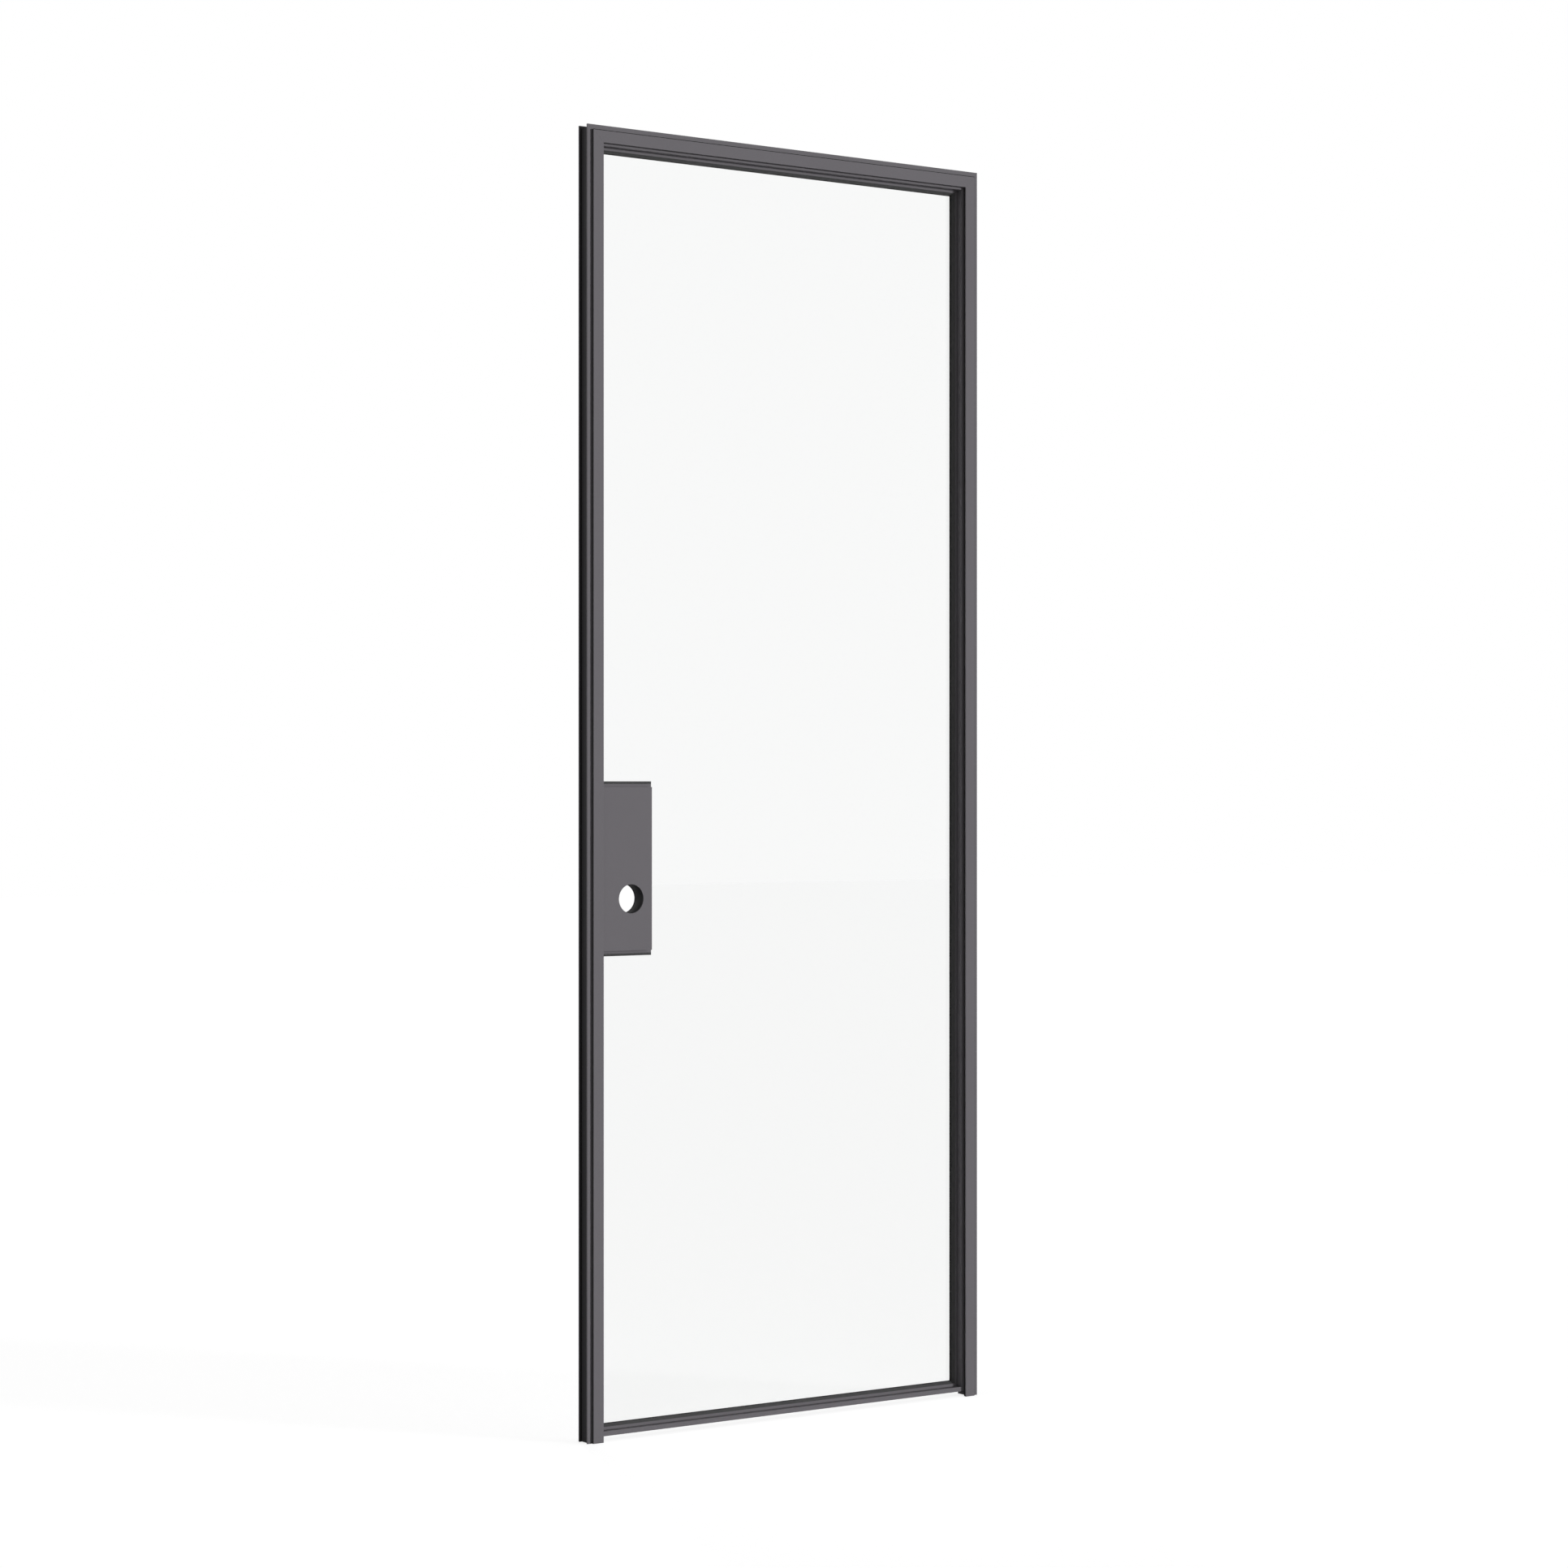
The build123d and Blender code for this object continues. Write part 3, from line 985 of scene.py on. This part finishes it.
class DOOR_OT_rubber(bpy.types.Operator):
    """Finish the seals and the gaskets, and lay painted shade strips along the stop trims"""

    bl_idname = "door.rubber"
    bl_label = "Seals and Gaskets"

    def execute(self, context):
        rubber = rubber_material()
        dress(GASKETS, rubber)
        for name in SEALS:
            stop = name.replace("seal", "stop")
            self.add_seal(name, rubber)
            # Painted shade: a dark strip where each stop trim meets the flange
            self.add_shade_strip(stop, rubber, context.scene.door_finish.shade_strip_width)
        return {"FINISHED"}

    def add_seal(self, name, rubber):
        """A bulb seal in the place of the plain one."""
        low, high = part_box(name)
        along = 0 if name.startswith("head") else 2
        across = 2 - along
        section = bulb_section(high[across] - low[across], high.y - low.y)
        mesh = tube_along(high[along] - low[along], section, along, across)
        mesh.transform(Matrix.Translation(low))
        bulb_name = name.replace("seal", "bulb_seal")
        bulb = add_mesh(bulb_name, mesh, rubber, "frame")
        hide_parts(name)

    def add_shade_strip(self, stop, rubber, width):
        """A dark strip along the outer side of a stop trim, which is painted shade where the trim
        meets the flange.
        """
        low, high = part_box(stop)
        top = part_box("head_stop")[1].z
        if stop.startswith("head"):
            start, end = Vector((low.x, 0, high.z)), Vector((high.x, 0, high.z + width))
        elif stop.startswith("hinge"):
            start, end = Vector((high.x, 0, low.z)), Vector((high.x + width, 0, top + width))
        else:
            start, end = Vector((low.x - width, 0, low.z)), Vector((low.x, 0, top + width))
        start.y = low.y + SHADE_STRIP_SETBACK
        end.y = start.y + width
        # The strip is painted shade, not a real part of the trim
        add_mesh(stop + "_shade_strip", bar_between(start, end), rubber, "frame")


class DOOR_OT_hinges(bpy.types.Operator):
    """Finish the hinges and screw their plates on"""

    bl_idname = "door.hinges"
    bl_label = "Hinges"

    def execute(self, context):
        steel = steel_material()
        faces = {
            "frame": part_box("hinge_jamb")[0].x - HINGE_PLATE,
            "leaf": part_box("hinge_stile")[1].x + HINGE_PLATE,
        }
        for number in HINGES:
            hinge = f"hinge_{number}"
            dress((f"{hinge}_frame_plate", f"{hinge}_leaf_plate", f"{hinge}_pin"), steel)
            low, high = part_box(f"{hinge}_frame_plate")
            middle = (low.z + high.z) / 2
            for body, outward in (("frame", (-1, 0, 0)), ("leaf", (1, 0, 0))):
                places = [
                    (faces[body], low.y + across, middle + up) for up, across in HINGE_SCREWS
                ]
                add_screws(f"{hinge}_{body}_screws", places, outward, body)
        return {"FINISHED"}


class DOOR_OT_strike(bpy.types.Operator):
    """Finish the strike plate and screw it on"""

    bl_idname = "door.strike"
    bl_label = "Strike Plate"

    def execute(self, context):
        dress(("strike_plate",), steel_material())
        low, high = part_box("strike_plate")
        across = (low.y + high.y) / 2
        heights = (low.z + STRIKE_SCREW_MARGIN, high.z - STRIKE_SCREW_MARGIN)
        places = [(high.x, across, height) for height in heights]
        add_screws("strike_screws", places, (1, 0, 0), "frame")
        return {"FINISHED"}


def direction(side, height=0.0):
    """Where an angle to the right of the door's front and an angle above the floor point."""
    flat = math.cos(height)
    return Vector((flat * math.sin(side), -flat * math.cos(side), math.sin(height)))


def add_lamp(name, strength, side, height, softness):
    """A broad, distant lamp that is never mirrored."""
    light = bpy.data.lights.new(name, "SUN")
    light.energy = strength
    light.angle = softness
    lamp = bpy.data.objects.new(name, light)
    bpy.context.scene.collection.objects.link(lamp)
    towards = direction(side, height)
    lamp.location = towards * LAMP_DISTANCE
    lamp.visible_glossy = False
    lamp.visible_transmission = False
    lamp.rotation_mode = "QUATERNION"
    lamp.rotation_quaternion = towards.to_track_quat("Z", "Y")


def grey(tone):
    """An opaque colour of one tone."""
    return (tone, tone, tone, 1.0)


def seen_directly(tree):
    """1 for camera and transmission rays."""
    path = tree.add("ShaderNodeLightPath").outputs
    return tree.math("MAXIMUM", path["Is Camera Ray"], path["Is Transmission Ray"])


class DOOR_OT_stage(bpy.types.Operator):
    """Set up the camera, the lights, the floor and the white room"""

    bl_idname = "door.stage"
    bl_label = "Stage"

    def execute(self, context):
        stage = context.scene.door_stage
        self.add_camera(context, stage)
        self.add_floor(context, stage)
        self.add_room(context, stage)
        for name, strength, side in (
            ("key", stage.key_strength, stage.key_side),
            ("side", stage.side_strength, stage.side_angle),
            ("back", stage.back_strength, stage.back_angle),
        ):
            add_lamp(name, strength, side, stage.key_height, stage.key_softness)
        return {"FINISHED"}

    def add_camera(self, context, stage):
        """A level camera that looks at the door."""
        data = bpy.data.cameras.new("camera")
        data.lens = stage.lens_length
        data.sensor_width = 36.0
        data.shift_y = stage.horizon_shift
        data.clip_end = 200.0
        camera = bpy.data.objects.new("camera", data)
        context.scene.collection.objects.link(camera)
        camera.location = stage.camera_place
        camera.rotation_euler = (math.radians(90), 0, -stage.camera_heading)
        context.scene.camera = camera

    def add_floor(self, context, stage):
        """A floor that looks white to the camera and through the pane, apart from shadows."""
        material = bpy.data.materials.new("pale_floor")
        material.use_nodes = True
        material.node_tree.nodes.clear()
        tree = NodeTree(material.node_tree)
        matt = tree.add("ShaderNodeBsdfDiffuse", {"Color": grey(stage.floor_tone)})
        faint = tree.add("ShaderNodeBsdfDiffuse", {"Color": grey(stage.shadow_tone)})
        glow = tree.add("ShaderNodeEmission", {"Strength": stage.floor_glow})
        halves = {0: faint.outputs["BSDF"], 1: glow.outputs["Emission"]}
        white = tree.add("ShaderNodeAddShader", halves).outputs["Shader"]
        sides = {"Fac": seen_directly(tree), 1: matt.outputs["BSDF"], 2: white}
        mix = tree.add("ShaderNodeMixShader", sides)
        tree.add("ShaderNodeOutputMaterial", {"Surface": mix.outputs["Shader"]})
        half = stage.floor_size / 2
        corners = [(-half, -half, 0), (half, -half, 0), (half, half, 0), (-half, half, 0)]
        mesh = bpy.data.meshes.new("floor")
        mesh.from_pydata(corners, [], [(0, 1, 2, 3)])
        mesh.materials.append(material)
        floor = bpy.data.objects.new("floor", mesh)
        context.scene.collection.objects.link(floor)

    def add_room(self, context, stage):
        """A room that looks white, and lights the door most from the main light's side."""
        world = bpy.data.worlds.new("room")
        context.scene.world = world
        world.use_nodes = True
        world.node_tree.nodes.clear()
        tree = NodeTree(world.node_tree)
        key = direction(stage.key_side)
        facing = tree.vector("DOT_PRODUCT", tree.coordinates("Generated"), key, "Value")
        light = tree.spread(facing, (ROOM_EDGE, 1.0), (stage.room_shade, stage.room_light))
        in_line = tree.math("ABSOLUTE", facing)
        tones = (stage.mirror_shade, stage.mirror_light)
        mirrored = tree.spread(in_line, (MIRROR_EDGE, 1.0), tones)
        glossy = tree.add("ShaderNodeLightPath").outputs["Is Glossy Ray"]
        unseen = tree.math("MAXIMUM", light, tree.math("MULTIPLY", glossy, mirrored))
        strength = tree.math("MAXIMUM", unseen, seen_directly(tree))
        room = tree.add("ShaderNodeBackground", {"Color": grey(1.0), "Strength": strength})
        tree.add("ShaderNodeOutputWorld", {"Surface": room.outputs["Background"]})


OPERATORS = (
    DOOR_OT_frame_metal,
    DOOR_OT_leaf_metal,
    DOOR_OT_glass,
    DOOR_OT_rubber,
    DOOR_OT_hinges,
    DOOR_OT_strike,
    DOOR_OT_stage,
)


class DOOR_PT_panel(bpy.types.Panel):
    """Lists the steps that finish the door"""

    bl_label = "Glass Interior Door"
    bl_idname = "DOOR_PT_panel"
    bl_space_type = "VIEW_3D"
    bl_region_type = "UI"
    bl_category = "Door"

    def draw(self, context):
        for operator in OPERATORS:
            self.layout.operator(operator.bl_idname)
        for group in (context.scene.door_finish, context.scene.door_stage):
            box = self.layout.box()
            for name in group.__annotations__:
                box.prop(group, name)


CLASSES = (DoorFinish, DoorStage) + OPERATORS + (DOOR_PT_panel,)


def register():
    for cls in CLASSES:
        bpy.utils.register_class(cls)
    bpy.types.Scene.door_finish = PointerProperty(type=DoorFinish)
    bpy.types.Scene.door_stage = PointerProperty(type=DoorStage)


def unregister():
    del bpy.types.Scene.door_stage
    del bpy.types.Scene.door_finish
    for cls in reversed(CLASSES):
        bpy.utils.unregister_class(cls)


def main():
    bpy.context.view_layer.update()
    register()
    bpy.context.scene.view_settings.view_transform = "Standard"
    bpy.ops.door.frame_metal()
    bpy.ops.door.leaf_metal()
    bpy.ops.door.glass()
    bpy.ops.door.rubber()
    bpy.ops.door.hinges()
    bpy.ops.door.strike()
    bpy.ops.door.stage()


if __name__ == "__main__":
    main()
